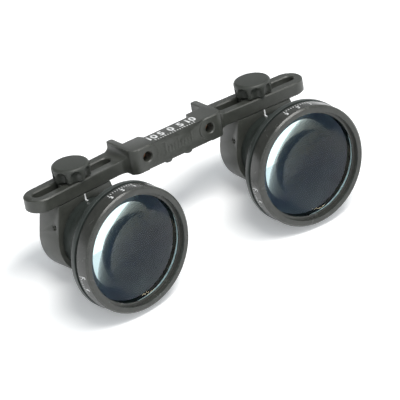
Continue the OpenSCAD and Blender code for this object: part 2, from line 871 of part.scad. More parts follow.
objective_flint(right);  // objective_flint_right
objective_retainer(right);  // objective_retainer_right
light_baffle(right);  // light_baffle_right
eyepiece_tube(right);  // eyepiece_tube_right
eyepiece_lens(right);  // eyepiece_lens_right
eyepiece_retainer(right);  // eyepiece_retainer_right
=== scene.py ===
"""Binocular loupes: finishes, turned pieces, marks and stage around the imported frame."""
import json
import math

import bmesh
import bpy
import numpy as np
from mathutils import Matrix, Vector
from mathutils.bvhtree import BVHTree


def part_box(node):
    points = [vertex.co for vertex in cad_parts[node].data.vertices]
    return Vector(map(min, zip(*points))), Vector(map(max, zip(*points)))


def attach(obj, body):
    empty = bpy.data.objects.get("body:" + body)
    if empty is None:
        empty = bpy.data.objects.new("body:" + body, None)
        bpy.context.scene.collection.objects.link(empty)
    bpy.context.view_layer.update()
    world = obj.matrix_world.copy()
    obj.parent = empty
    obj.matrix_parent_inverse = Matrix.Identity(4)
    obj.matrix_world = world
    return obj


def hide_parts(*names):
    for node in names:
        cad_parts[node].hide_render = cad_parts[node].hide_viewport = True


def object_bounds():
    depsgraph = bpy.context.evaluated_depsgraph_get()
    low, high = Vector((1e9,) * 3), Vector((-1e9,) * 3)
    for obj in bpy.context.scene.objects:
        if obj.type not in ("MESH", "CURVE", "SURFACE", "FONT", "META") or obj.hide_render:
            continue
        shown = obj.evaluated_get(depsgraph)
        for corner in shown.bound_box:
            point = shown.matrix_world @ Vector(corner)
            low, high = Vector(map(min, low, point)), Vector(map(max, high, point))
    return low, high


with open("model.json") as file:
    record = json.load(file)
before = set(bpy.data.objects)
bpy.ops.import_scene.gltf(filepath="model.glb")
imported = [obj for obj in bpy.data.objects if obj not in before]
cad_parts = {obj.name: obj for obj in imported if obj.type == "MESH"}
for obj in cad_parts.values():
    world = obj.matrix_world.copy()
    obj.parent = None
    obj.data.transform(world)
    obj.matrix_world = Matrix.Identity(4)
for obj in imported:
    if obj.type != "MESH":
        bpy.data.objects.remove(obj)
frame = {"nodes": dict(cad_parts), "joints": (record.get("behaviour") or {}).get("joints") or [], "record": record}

bl_info = {
    "name": "Binocular loupes",
    "version": (1, 0, 0),
    "blender": (4, 5, 0),
    "location": "3D View > Sidebar > Loupes",
    "description": "Dresses a pair of binocular loupes and sets their stage",
    "category": "Object",
}

MM = 0.001
X, Y, UP = Vector((1, 0, 0)), Vector((0, 1, 0)), Vector((0, 0, 1))
SIDES = ("left", "right")
ON_AXIS = 0.01 * MM       # a point closer to the axis than this is a pole
SAME_DEPTH = 0.012 * MM   # how far apart two points of one turned edge may lie
SHARP = math.radians(32)  # an edge that turns more than this stays sharp
MILLED_EDGE = math.radians(50)  # an edge that turns more than this gets rounded

BODY_OF = {n: b for b, nodes in frame["record"]["behaviour"]["bodies"].items() for n in nodes}
CAD_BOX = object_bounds()


# Settings

def color_setting(name, surface, *default):
    """A colour."""
    return bpy.props.FloatVectorProperty(
        name=name, description=f"Colour of {surface}", subtype="COLOR", size=3, min=0, max=1,
        default=default)


def length_setting(name, description, default, least, most):
    """A length in metres, within its limits."""
    return bpy.props.FloatProperty(
        name=name, description=description, unit="LENGTH", min=least, max=most,
        default=default)


def share_setting(name, description, default, most=1):
    """A share, at the most 1."""
    return bpy.props.FloatProperty(
        name=name, description=description, subtype="FACTOR", min=0, max=most, default=default)


def angle_setting(name, description, degrees):
    """An angle."""
    return bpy.props.FloatProperty(
        name=name, description=description, subtype="ANGLE", default=math.radians(degrees))


def vector_setting(name, description, subtype, *default):
    """A place or a direction."""
    return bpy.props.FloatVectorProperty(
        name=name, description=description, subtype=subtype, size=3, default=default)


class LoupesFinish(bpy.types.PropertyGroup):
    """Colours and gloss of the finishes."""

    bar_color: color_setting("Bar and carriers", "the satin black bar and carriers",
                             0.043, 0.0455, 0.039)
    knob_color: color_setting("Knobs", "the moulded clamp knobs", 0.037, 0.0405, 0.0345)
    ring_color: color_setting("Rings", "the glossy front rings", 0.036, 0.0375, 0.0335)
    housing_color: color_setting("Housings", "the turned housings", 0.03, 0.0365, 0.0335)
    inner_color: color_setting("Inner walls", "the blackened inner walls",
                               0.006, 0.0075, 0.0075)
    brass_color: color_setting("Brass", "the threaded bushes", 0.42, 0.22, 0.13)
    steel_color: color_setting("Steel", "the clamp studs", 0.5, 0.49, 0.47)
    rubber_color: color_setting("Rubber", "the sealing rings", 0.006, 0.006, 0.006)
    paint_color: color_setting("Printed marks", "the printed scales", 0.9, 0.91, 0.91)
    glass_color: color_setting("Glass", "the light that the lenses let through",
                               0.78, 0.955, 0.95)
    ground_color: color_setting("Ground glass", "the lenses' ground edges", 0.78, 0.84, 0.86)
    dust_color: color_setting("Dust", "the specks of dust", 0.16, 0.16, 0.15)
    satin: share_setting("Satin roughness", "Roughness of the satin black finish", 0.36)
    gloss: share_setting("Ring roughness", "Roughness of the front rings", 0.24)


class LoupesDetail(bpy.types.PropertyGroup):
    """Sizes of the fine pieces."""

    edge_round: length_setting(
        "Edge rounding", "Rounding of the milled edges", 0.18 * MM, 0, 0.4 * MM)
    knob_round: length_setting(
        "Knob edge rounding", "Rounding of the knobs' moulded edges", 0.12 * MM, 0, 0.4 * MM)
    thread_pitch: length_setting(
        "Thread pitch", "Distance between the bushes' threads", 0.45 * MM, 0.2 * MM, 1 * MM)
    knurl_count: bpy.props.IntProperty(
        name="Knurl teeth", description="Teeth around each front ring's bevel",
        min=60, max=480, default=300)
    knurl_depth: length_setting(
        "Knurl depth", "Height of the teeth on the bevel", 0.04 * MM, 0, 0.2 * MM)
    scale_pitch: length_setting(
        "Scale pitch", "Distance between the ticks on the bar's top",
        0.8 * MM, 0.3 * MM, 3 * MM)
    scale_count: bpy.props.IntProperty(
        name="Scale ticks", description="Number of ticks on the bar's top",
        min=3, max=25, default=17)
    numeral_height: length_setting(
        "Numeral height", "Height of the numerals on the bar's top",
        2.6 * MM, 0.5 * MM, 4 * MM)
    ring_numeral_height: length_setting(
        "Ring numeral height", "Height of the numerals on the rings",
        1.3 * MM, 0.5 * MM, 2 * MM)
    numeral_weight: bpy.props.FloatProperty(
        name="Numeral weight", description="How much the numerals' strokes are thickened",
        min=0, max=0.06, default=0.035)
    print_height: length_setting(
        "Print thickness", "Thickness of the printed marks",
        0.02 * MM, 0.005 * MM, 0.1 * MM)


class LoupesStage(bpy.types.PropertyGroup):
    """Camera, table, room and lamp."""

    lens: bpy.props.FloatProperty(
        name="Focal length", description="Focal length of the camera, in millimetres",
        min=20, max=600, default=247.36)
    distance: length_setting(
        "Camera distance", "Distance of the camera from what it looks at", 0.72174, 0.1, 5)
    aim: vector_setting("Aim", "The point in the middle of the picture", "TRANSLATION",
                        -4.62 * MM, -19.297 * MM, -11.628 * MM)
    azimuth: angle_setting("Azimuth", "Direction of the camera around the object", -32.72)
    elevation: angle_setting(
        "Elevation", "Height of the camera above the object, as an angle", 25.69)
    roll: angle_setting("Roll", "Turn of the camera about its own line of sight", 10.14)
    table_tilt: angle_setting("Table tilt", "How far the loupes lean forward on the table", 15.25)
    table_radius: length_setting("Table radius", "Radius of the round table top", 0.6, 0.1, 3)
    table_color: color_setting("Table", "the table top", 0.93, 0.935, 0.94)
    table_lift: bpy.props.FloatProperty(
        name="Table lift", description="How much whiter the table looks than it lights",
        min=1, max=2, default=1.45)
    table_glow: share_setting(
        "Table glow", "Share of the table's white that no shadow reaches", 0.18, 0.5)
    glow_color: color_setting("Shadow tint", "the light that no shadow reaches", 0.97, 0.985, 1)
    room_color: color_setting("Room", "the white room", 0.94, 0.975, 1)
    back_side: vector_setting(
        "Dim side", "Direction of the dimmer half of the room", "DIRECTION", 0, 0.6, 0.8)
    back_light: share_setting("Dim side's light", "Light from the dimmer half of the room", 0.43)
    dark_side: vector_setting(
        "Dark side", "Direction of the room's dark corner", "DIRECTION", -0.28, 0.76, 0.59)
    dark_light: share_setting("Dark side's light", "Light from the room's dark corner", 0.3)
    lamp_side: vector_setting(
        "Lamp side", "Direction of the softbox", "DIRECTION", 0.1, -0.47, 0.88)
    lamp_distance: length_setting(
        "Lamp distance", "Distance of the softbox from the loupes", 0.8, 0.1, 3)
    lamp_width: length_setting("Lamp width", "Width of the softbox", 0.6, 0.01, 2)
    lamp_depth: length_setting("Lamp depth", "Depth of the softbox", 0.2, 0.01, 2)
    lamp_power: bpy.props.FloatProperty(
        name="Lamp power", description="Power of the softbox", unit="POWER", min=0, max=50,
        default=4.6)
    lamp_color: color_setting("Lamp", "the softbox's light", 1, 0.985, 0.96)


# Places and measures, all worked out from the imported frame

def rightward(side):
    """Unit vector along a side's arm that points to the right, seen from the front."""
    slide = next(j for j in frame["joints"] if j["name"] == f"carrier_slide_{side}")
    outward = Vector(slide["axis"]).normalized()
    return outward if side == "right" else -outward


def as_place(origin, right, up):
    """A place with X to the right, Y up and Z towards whoever looks at it."""
    turn = Matrix((right, up, right.cross(up))).transposed()
    return Matrix.Translation(origin) @ turn.to_4x4()


def telescope_place(side):
    """The middle of a ring's front face, with Z along the axis towards the front."""
    low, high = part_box(f"light_baffle_{side}")
    on_axis = (low + high) / 2
    forward = rightward(side).cross(UP)
    ring = frame["nodes"][f"objective_ring_{side}"].data.vertices
    reach = max((v.co - on_axis).dot(forward) for v in ring)
    return as_place(on_axis + forward * reach, rightward(side), UP)


def section(node, place):
    """Radius and depth of each of a node's points about a place's axis, depth running away."""
    points = np.array([v.co for v in frame["nodes"][node].data.vertices], float)
    flat = np.array(place.inverted())
    local = points @ flat[:3, :3].T + flat[:3, 3]
    return np.hypot(local[:, 0], local[:, 1]), -local[:, 2]


# Objects and meshes

def configured(item, **settings):
    """Gives an item several settings at once."""
    for key, value in settings.items():
        setattr(item, key, value)
    return item


def linked(name, data):
    """A new object in the scene."""
    made = bpy.data.objects.new(name, data)
    bpy.context.scene.collection.objects.link(made)
    return made


def smoothed(piece):
    """Shades a piece smooth but for its sharp edges."""
    piece.data.shade_smooth()
    piece.data.set_sharp_from_angle(angle=SHARP)
    return piece


def plain_mesh(source, name):
    """The mesh that an object's modifiers or lettering make. The object goes."""
    graph = bpy.context.evaluated_depsgraph_get()
    mesh = bpy.data.meshes.new_from_object(source.evaluated_get(graph))
    bpy.data.objects.remove(source)
    mesh.name = name
    mesh.materials.clear()
    return mesh


def mesh_from(shape, name):
    """The mesh of a finished bmesh."""
    mesh = bpy.data.meshes.new(name)
    shape.to_mesh(mesh)
    shape.free()
    return mesh


def joined(name, parts):
    """Several mesh objects as one."""
    shape = bmesh.new()
    for part in parts:
        shape.from_mesh(part.data)
        bpy.data.objects.remove(part)
    return linked(name, mesh_from(shape, name))


def rounded(corners, steps=3):
    """An outline whose corners, given as (radius, depth, rounding), are turned into arcs."""
    outline = []
    for i, (x, y, fillet) in enumerate(corners):
        here = Vector((x, y))
        before = Vector(corners[i - 1][:2]) - here
        after = Vector(corners[(i + 1) % len(corners)][:2]) - here
        if fillet <= 0 or before.length == 0 or after.length == 0:
            outline.append((x, y))
            continue
        before.normalize()
        after.normalize()
        half = before.angle(after) / 2
        centre = here + (before + after).normalized() * fillet / math.sin(half)
        start = here + before * fillet / math.tan(half) - centre
        end = here + after * fillet / math.tan(half) - centre
        turn = start.angle_signed(end)
        for k in range(steps + 1):
            a = -turn * k / steps
            outline.append((centre.x + start.x * math.cos(a) - start.y * math.sin(a),
                            centre.y + start.x * math.sin(a) + start.y * math.cos(a)))
    return outline


def turned(name, outline, place, segments=192):
    """A closed outline of (radius, depth) points, turned about a place's axis."""
    shape = bmesh.new()
    uv = shape.loops.layers.uv.new("turning")
    turns = [2 * math.pi * k / segments for k in range(segments)]
    rows = [[shape.verts.new((0, 0, -depth))] if radius < ON_AXIS else
            [shape.verts.new((radius * math.cos(a), radius * math.sin(a), -depth))
             for a in turns] for radius, depth in outline]
    near = 0.0
    for i, row in enumerate(rows):
        following = rows[(i + 1) % len(rows)]
        far = near + math.dist(outline[i], outline[(i + 1) % len(rows)])
        for k in range(segments if len(row) + len(following) > 2 else 0):
            corners = [(line, turn, along) for line, turn, along in (
                (row, k, near), (row, k + 1, near), (following, k + 1, far), (following, k, far))
                if turn == k or len(line) > 1]
            face = shape.faces.new([line[turn % len(line)] for line, turn, _ in corners])
            for loop, (_, turn, along) in zip(face.loops, corners):
                loop[uv].uv = (turn / segments, along / MM)
        near = far
    bmesh.ops.recalc_face_normals(shape, faces=shape.faces)
    mesh = mesh_from(shape, name)
    mesh.transform(place)
    return smoothed(linked(name, mesh))


def merged_mesh(node):
    """A node's mesh with its loose triangles joined and its flat faces made whole."""
    shape = bmesh.new()
    shape.from_mesh(frame["nodes"][node].data)
    bmesh.ops.remove_doubles(shape, verts=shape.verts, dist=0.002 * MM)
    bmesh.ops.dissolve_limit(shape, angle_limit=math.radians(0.6),
                             verts=shape.verts, edges=shape.edges)
    return mesh_from(shape, "merged")


def milled(name, node, edge):
    """A node's shape with every sharp edge rounded, as a milled and blasted part has."""
    plain = merged_mesh(node)
    rough = linked("rough", plain)
    configured(rough.modifiers.new("rounding", "BEVEL"), offset_type="WIDTH", width=edge,
               segments=2, limit_method="ANGLE", angle_limit=MILLED_EDGE,
               use_clamp_overlap=False, loop_slide=False)
    piece = linked(name, plain_mesh(rough, name))
    surface = BVHTree.FromPolygons([v.co for v in plain.vertices],
                                   [face.vertices for face in plain.polygons])
    for v in piece.data.vertices:
        nearest, _, _, distance = surface.find_nearest(v.co)
        if distance > edge / 2:
            v.co = nearest
    return smoothed(piece)


def settle(piece, finish, *nodes, extra=None):
    """Gives a piece its finish, body and slot. It stands in for the nodes, or rides with extra."""
    piece.data.materials.clear()
    piece.data.materials.append(material(finish))
    home = extra or nodes[0]
    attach(piece, BODY_OF[home])
    if nodes:
        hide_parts(*nodes)
    return piece


def coat(node, finish):
    """Gives a CAD node that stays in sight its finish."""
    for slot in frame["nodes"][node].material_slots:
        slot.material = material(finish)


# Node trees

MIX_A, MIX_B, MIXED = 6, 7, 2  # a Mix node's colour sockets, which share their names


def feed(node, inputs):
    """Gives a node's inputs plain values, or links them to the sockets given."""
    for key, value in dict(inputs).items():
        if isinstance(value, bpy.types.NodeSocket):
            node.id_data.links.new(value, node.inputs[key])
        else:
            node.inputs[key].default_value = value
    return node


def node_in(tree, kind, inputs=(), **settings):
    """A new node with its settings and what feeds it."""
    return feed(configured(tree.nodes.new(kind), **settings), inputs)


def math_node(tree, operation, *values, clamp=False):
    """A Math node on sockets or numbers. Returns its output."""
    return node_in(tree, "ShaderNodeMath", enumerate(values), operation=operation,
                   use_clamp=clamp).outputs[0]


def dot_node(tree, first, second):
    """How far two directions agree, from 1 down to -1."""
    return node_in(tree, "ShaderNodeVectorMath", {0: first, 1: second},
                   operation="DOT_PRODUCT").outputs["Value"]


def group_tree(name, kind, inputs, outputs):
    """A node group with named sockets. One without a default has the type that it is named."""
    tree = bpy.data.node_groups.new(name, kind)
    for in_out, sockets in (("INPUT", inputs), ("OUTPUT", outputs)):
        for label, default in sockets.items():
            sort = {int: "Int", float: "Float"}.get(type(default), label)
            made = tree.interface.new_socket(
                label, in_out=in_out, socket_type=f"NodeSocket{sort}")
            if default is not None:
                made.default_value = default
    return tree, tree.nodes.new("NodeGroupInput").outputs, tree.nodes.new("NodeGroupOutput")


def grain_group():
    """Blasted grain and soft mottling, from a place on the piece."""
    tree, given, made = group_tree(
        "blasted_grain", "ShaderNodeTree",
        {"Vector": None, "Grain Size": 0.08 * MM, "Mottle Size": 2.5 * MM},
        {"Height": 0.0, "Mottle": 0.0})
    for size, detail, result in (("Grain Size", 2, "Height"), ("Mottle Size", 4, "Mottle")):
        noise = node_in(tree, "ShaderNodeTexNoise", {
            "Vector": given["Vector"], "Scale": math_node(tree, "DIVIDE", 1.0, given[size]),
            "Detail": detail, "Roughness": 0.55})
        feed(made, {result: noise.outputs["Fac"]})
    return tree


def wear_group():
    """Lighter edges, partly scuffing and partly a painted edge highlight: where the normal differs from that of a
    rounder edge.
    """
    tree, given, made = group_tree(
        "edge_wear_and_highlight", "ShaderNodeTree",
        {"Vector": None, "Reach": 0.15 * MM, "Amount": 4.0, "Patches": 900.0}, {"Mask": 0.0})
    rounder = node_in(tree, "ShaderNodeBevel", {"Radius": given["Reach"]}, samples=4)
    true_face = node_in(tree, "ShaderNodeNewGeometry")
    agreed = dot_node(tree, rounder.outputs["Normal"], true_face.outputs["Normal"])
    strong = math_node(tree, "MULTIPLY", math_node(tree, "SUBTRACT", 1.0, agreed),
                       given["Amount"])
    patches = node_in(tree, "ShaderNodeTexNoise", {
        "Vector": given["Vector"], "Scale": given["Patches"], "Detail": 5.0})
    feed(made, {"Mask": math_node(tree, "MULTIPLY", strong, patches.outputs["Fac"], clamp=True)})
    return tree


def lathe_group():
    """Fine lines that run round a turned piece, from its own unrolled coordinates."""
    tree, given, made = group_tree(
        "lathe_lines", "ShaderNodeTree", {"Vector": None, "Lines": 30.0}, {"Height": 0.0})
    parts = node_in(tree, "ShaderNodeSeparateXYZ", {0: given["Vector"]})
    along = math_node(tree, "MULTIPLY", parts.outputs["Y"], given["Lines"])
    lines = node_in(tree, "ShaderNodeTexNoise", {"Detail": 3.0, "Roughness": 0.7},
                    noise_dimensions="1D")
    feed(lines, {"W": along})
    feed(made, {"Height": lines.outputs["Fac"]})
    return tree


def dust_group():
    """A few light specks."""
    tree, given, made = group_tree(
        "dust_specks", "ShaderNodeTree",
        {"Vector": None, "Spacing": 1.6 * MM, "Speck Size": 0.05}, {"Mask": 0.0})
    cells = node_in(tree, "ShaderNodeTexVoronoi", {
        "Vector": given["Vector"], "Scale": math_node(tree, "DIVIDE", 1.0, given["Spacing"]),
        "Randomness": 1.0})
    feed(made, {"Mask": math_node(tree, "LESS_THAN", cells.outputs["Distance"],
                                  given["Speck Size"])})
    return tree


GROUP_MAKERS = {"blasted_grain": grain_group, "edge_wear_and_highlight": wear_group,
                "lathe_lines": lathe_group, "dust_specks": dust_group}


def labelled(values):
    """Values under the names of their sockets."""
    return {key.replace("_", " ").title(): value for key, value in values.items()}


def effect(tree, name, vector, **values):
    """Places a shared effect in a material and feeds it the piece's coordinates."""
    group = bpy.data.node_groups.get(name) or GROUP_MAKERS[name]()
    return node_in(tree, "ShaderNodeGroup", {"Vector": vector, **labelled(values)},
                   node_tree=group).outputs


# Finishes

def new_material(name):
    """A new material, its tree, its main shader and its coordinates."""
    made = configured(bpy.data.materials.new(name), use_nodes=True)
    tree = made.node_tree
    return made, tree, tree.nodes["Principled BSDF"], tree.nodes.new("ShaderNodeTexCoord").outputs


def blend_color(tree, mask, first, second):
    """Mixes two colours, each a socket or a plain colour, by a mask. Returns the output."""
    first, second = (c if isinstance(c, bpy.types.NodeSocket) else (*c, 1.0)
                     for c in (first, second))
    return node_in(tree, "ShaderNodeMix", {0: mask, MIX_A: first, MIX_B: second},
                   data_type="RGBA").outputs[MIXED]


def spread(tree, source, low, high):
    """Maps a mask from 0 to 1 onto a range of values."""
    return node_in(tree, "ShaderNodeMapRange", {
        "Value": source, "To Min": low, "To Max": high}).outputs["Result"]


def bumped(tree, height, depth):
    """The normal of a surface with this relief."""
    return node_in(tree, "ShaderNodeBump", {
        "Height": height, "Distance": depth, "Strength": 1.0}).outputs["Normal"]


def tinted(color, factor, added=0.0):
    """A colour made darker or paler."""
    return [c * factor + added for c in color]


def black_finish(name, color, roughness, grain=0.09 * MM, depth=0.006 * MM, scuff_and_highlight=3.0,
                 lines=0.0, specular=0.5, dust=0.03):
    """A black surface with mottling, grain or lathe lines, a little dust, and lighter edges that are partly
    scuffing and partly a painted edge highlight.
    """
    made, tree, shader, coordinates = new_material(name)
    place = coordinates["Object"]
    blasted = effect(tree, "blasted_grain", place, grain_size=grain)
    paler = [min(1.0, c) for c in tinted(color, 1.55, 0.002)]
    mottled = blend_color(tree, blasted["Mottle"], tinted(color, 0.72), paler)
    scuffed_and_highlit = effect(tree, "edge_wear_and_highlight", place, amount=scuff_and_highlight)
    # Edges tinted lighter than the surface: partly scuffing, partly a painted highlight in place of the light that
    # rounded edges catch.
    worn_and_highlit = blend_color(tree, scuffed_and_highlit["Mask"], mottled, tinted(color, 4, 0.03))
    specks = effect(tree, "dust_specks", place, speck_size=dust)
    relief = effect(tree, "lathe_lines", coordinates["UV"], lines=lines) if lines else blasted
    feed(shader, {
        "Base Color": blend_color(tree, specks["Mask"], worn_and_highlit,
                                  bpy.context.scene.loupes_finish.dust_color),
        "Roughness": spread(tree, blasted["Mottle"], roughness - 0.07, roughness + 0.09),
        "Specular IOR Level": specular,
        "Normal": bumped(tree, relief["Height"], depth)})
    return made


def plain_finish(name, dark, pale, smooth, rough, grain, mottle, relief=0.0, metallic=0.0):
    """A surface whose colour and roughness drift softly, with or without a fine grain."""
    made, tree, shader, coordinates = new_material(name)
    blasted = effect(tree, "blasted_grain", coordinates["Object"], grain_size=grain,
                     mottle_size=mottle)
    feed(shader, {"Base Color": blend_color(tree, blasted["Mottle"], dark, pale),
                  "Roughness": spread(tree, blasted["Mottle"], smooth, rough),
                  "Metallic": metallic})
    if relief:
        feed(shader, {"Normal": bumped(tree, blasted["Height"], relief)})
    return made


def metal_finish(name, color, roughness):
    """Bare metal with soft staining and a little grain."""
    return plain_finish(name, tinted(color, 0.75), color, roughness - 0.06, roughness + 0.12,
                        0.05 * MM, 0.7 * MM, relief=0.003 * MM, metallic=1.0)


def rubber_finish(name, color):
    """A dull finish with a fine skin."""
    return plain_finish(name, color, tinted(color, 2), 0.6, 0.8, 0.04 * MM, 0.8 * MM)


def paint_finish(name, color):
    """Printed paint, a little thin in places."""
    return plain_finish(name, tinted(color, 0.85), color, 0.45, 0.65, 0.06 * MM, 0.35 * MM)


def glass_finish(name, color, bending, film):
    """Clear optical glass with a thin coating and a faint film of dust."""
    made, tree, shader, coordinates = new_material(name)
    smears = effect(tree, "blasted_grain", coordinates["Object"], mottle_size=6 * MM)
    feed(shader, {"Base Color": (*color, 1.0), "Transmission Weight": 1.0, "IOR": bending,
                  "Thin Film Thickness": film, "Thin Film IOR": 1.38,
                  "Roughness": spread(tree, smears["Mottle"], 0.0, 0.02)})
    return made


def material(name):
    """The finish of that name, made when it is first asked for."""
    found = bpy.data.materials.get(name)
    if found:
        return found
    finish = bpy.context.scene.loupes_finish
    maker, *values, extra = {
        "satin_black": (black_finish, finish.bar_color, finish.satin, {}),
        "moulded_black": (black_finish, finish.knob_color, finish.satin + 0.06,
                          {"grain": 0.14 * MM, "depth": 0.008 * MM, "scuff_and_highlight": 2.0}),
        "glossy_black": (black_finish, finish.ring_color, finish.gloss,
                         {"depth": 0.0012 * MM, "lines": 14.0}),
        "turned_black": (black_finish, finish.housing_color, finish.satin - 0.04,
                         {"depth": 0.002 * MM, "lines": 9.0}),
        "inner_black": (black_finish, finish.inner_color, 0.5,
                        {"scuff_and_highlight": 0.0, "dust": 0.0, "specular": 0.1}),
        "bush_brass": (metal_finish, finish.brass_color, 0.28, {}),
        "stud_steel": (metal_finish, finish.steel_color, 0.3, {}),
        "soft_rubber": (rubber_finish, finish.rubber_color, {}),
        "printed_white": (paint_finish, finish.paint_color, {}),
        "lens_glass": (glass_finish, finish.glass_color, 1.56, 124.0, {}),
        "ground_glass": (rubber_finish, finish.ground_color, {}),
    }[name]
    return maker(name, *values, **extra)


# Repeating details, made with geometry nodes

def vector_of(tree, *parts):
    """A vector from three sockets or numbers."""
    return node_in(tree, "ShaderNodeCombineXYZ", enumerate(parts)).outputs[0]


def ended(tree, given, made, geometry):
    """Ends a tree with real geometry that has its material."""
    real = node_in(tree, "GeometryNodeRealizeInstances", {"Geometry": geometry})
    coated = node_in(tree, "GeometryNodeSetMaterial", {
        "Geometry": real.outputs[0], "Material": given["Material"]})
    feed(made, {"Geometry": coated.outputs[0]})
    return tree


def ticks_tree(name, layout, lay):
    """Small bars. Every one whose number divides by Long Every is long."""
    tree, given, made = group_tree(
        name, "GeometryNodeTree",
        {"Geometry": None, "Count": 9, **layout, "Width": 0.2 * MM, "Short": 0.5 * MM,
         "Long": 0.8 * MM, "Thickness": 0.02 * MM, "Long Every": 4, "Material": None},
        {"Geometry": None})
    index = tree.nodes.new("GeometryNodeInputIndex").outputs[0]
    over = math_node(tree, "FLOORED_MODULO", index, given["Long Every"])
    even = node_in(tree, "FunctionNodeCompare", {0: over, 1: 0.5}, data_type="FLOAT",
                   operation="LESS_THAN")
    length = node_in(tree, "GeometryNodeSwitch", {
        "Switch": even.outputs[0], "False": given["Short"], "True": given["Long"]},
        input_type="FLOAT").outputs[0]
    place, turn, scale = lay(tree, given, index, length)
    line = node_in(tree, "GeometryNodeMeshLine", {"Count": given["Count"]})
    placed = node_in(tree, "GeometryNodeSetPosition", {
        "Geometry": line.outputs["Mesh"], "Position": vector_of(tree, *place)})
    cube = node_in(tree, "GeometryNodeMeshCube", {"Size": (1.0, 1.0, 1.0)})
    copies = node_in(tree, "GeometryNodeInstanceOnPoints", {
        "Points": placed.outputs["Geometry"], "Instance": cube.outputs["Mesh"],
        "Rotation": vector_of(tree, *turn), "Scale": vector_of(tree, *scale)})
    return ended(tree, given, made, copies.outputs["Instances"])


def on_arc(tree, given, index, length):
    """Lays bars on a circle, each tilted about its own tangent."""
    turn = math_node(tree, "MULTIPLY", index, given["Step Angle"])
    angle = math_node(tree, "ADD", turn, given["Start Angle"])
    x, y = (math_node(tree, "MULTIPLY", math_node(tree, part, angle), given["Radius"])
            for part in ("COSINE", "SINE"))
    return ((x, y, math_node(tree, "MULTIPLY", given["Depth"], -1.0)),
            (0.0, given["Tilt"], angle), (given["Thickness"], given["Width"], length))


def in_row(tree, given, index, length):
    """Lays bars in a row along X, so that they share their lower ends."""
    last = math_node(tree, "SUBTRACT", given["Count"], 1.0)
    centred = math_node(tree, "SUBTRACT", index, math_node(tree, "MULTIPLY", last, 0.5))
    return ((math_node(tree, "MULTIPLY", centred, given["Pitch"]),
             math_node(tree, "MULTIPLY", length, 0.5), 0.0),
            (0.0, 0.0, 0.0), (given["Width"], length, given["Thickness"]))


def arc_ticks_tree():
    """Small bars on a circle."""
    return ticks_tree("arc_ticks", {"Radius": 17 * MM, "Start Angle": 0.0, "Step Angle": 0.1,
                                    "Depth": 1 * MM, "Tilt": 0.0}, on_arc)


def row_ticks_tree():
    """Small bars in a row."""
    return ticks_tree("row_ticks", {"Pitch": 1 * MM}, in_row)


def screw_thread_tree():
    """A round ridge that winds along Z."""
    tree, given, made = group_tree(
        "screw_thread", "GeometryNodeTree",
        {"Geometry": None, "Radius": 1 * MM, "Length": 3 * MM, "Turns": 7.0,
         "Ridge": 0.1 * MM, "Material": None}, {"Geometry": None})
    spiral = node_in(tree, "GeometryNodeCurveSpiral", {
        "Resolution": 24, "Rotations": given["Turns"], "Start Radius": given["Radius"],
        "End Radius": given["Radius"], "Height": given["Length"]})
    ridge = node_in(tree, "GeometryNodeCurvePrimitiveCircle", {
        "Resolution": 6, "Radius": given["Ridge"]})
    swept = node_in(tree, "GeometryNodeCurveToMesh", {
        "Curve": spiral.outputs["Curve"], "Profile Curve": ridge.outputs["Curve"],
        "Fill Caps": True})
    return ended(tree, given, made, swept.outputs["Mesh"])


TREE_MAKERS = {"arc_ticks": arc_ticks_tree, "row_ticks": row_ticks_tree,
               "screw_thread": screw_thread_tree}


def grown(name, tree_name, place, finish, **values):
    """What a geometry tree makes with these values, as a plain mesh at a place."""
    tree = bpy.data.node_groups.get(tree_name) or TREE_MAKERS[tree_name]()
    seed = linked("seed", bpy.data.meshes.new("seed"))
    growth = configured(seed.modifiers.new("growth", "NODES"), node_group=tree)
    sockets = {s.name: s.identifier for s in tree.interface.items_tree
               if s.item_type == "SOCKET" and s.in_out == "INPUT"}
    for label, value in labelled({**values, "material": material(finish)}).items():
        growth[sockets[label]] = value
    mesh = plain_mesh(seed, name)
    mesh.transform(place)
    return linked(name, mesh)


def numeral_mesh(number, height, thickness):
    """A bold numeral as a thin mesh, with the middle of its back on the origin."""
    curve = configured(
        bpy.data.curves.new("numeral", "FONT"), body=str(number), align_x="CENTER",
        align_y="CENTER", offset=bpy.context.scene.loupes_detail.numeral_weight)
    mesh = plain_mesh(linked("numeral", curve), "numeral")
    ys = [v.co.y for v in mesh.vertices]
    mesh.transform(Matrix.Scale(height / (max(ys) - min(ys)), 4)
                   @ Matrix.Translation(-Y * (max(ys) + min(ys)) / 2))
    shape = bmesh.new()
    shape.from_mesh(mesh)
    bmesh.ops.remove_doubles(shape, verts=shape.verts, dist=0.001 * MM)
    raised = bmesh.ops.extrude_face_region(shape, geom=shape.faces[:])
    top = [v for v in raised["geom"] if isinstance(v, bmesh.types.BMVert)]
    bmesh.ops.translate(shape, verts=top, vec=UP * thickness)
    bmesh.ops.recalc_face_normals(shape, faces=shape.faces)
    return mesh_from(shape, "numeral")


# Bar

STRIP_INSET = 0.7 * MM    # from the block's front edge to the ticks' lower ends
NUMERAL_RISE = 2.5 * MM   # from the ticks' lower ends to the numerals' middles
NUMERALS = (10, 5, 0, 5, 10)
TICKS_PER_NUMERAL = 4


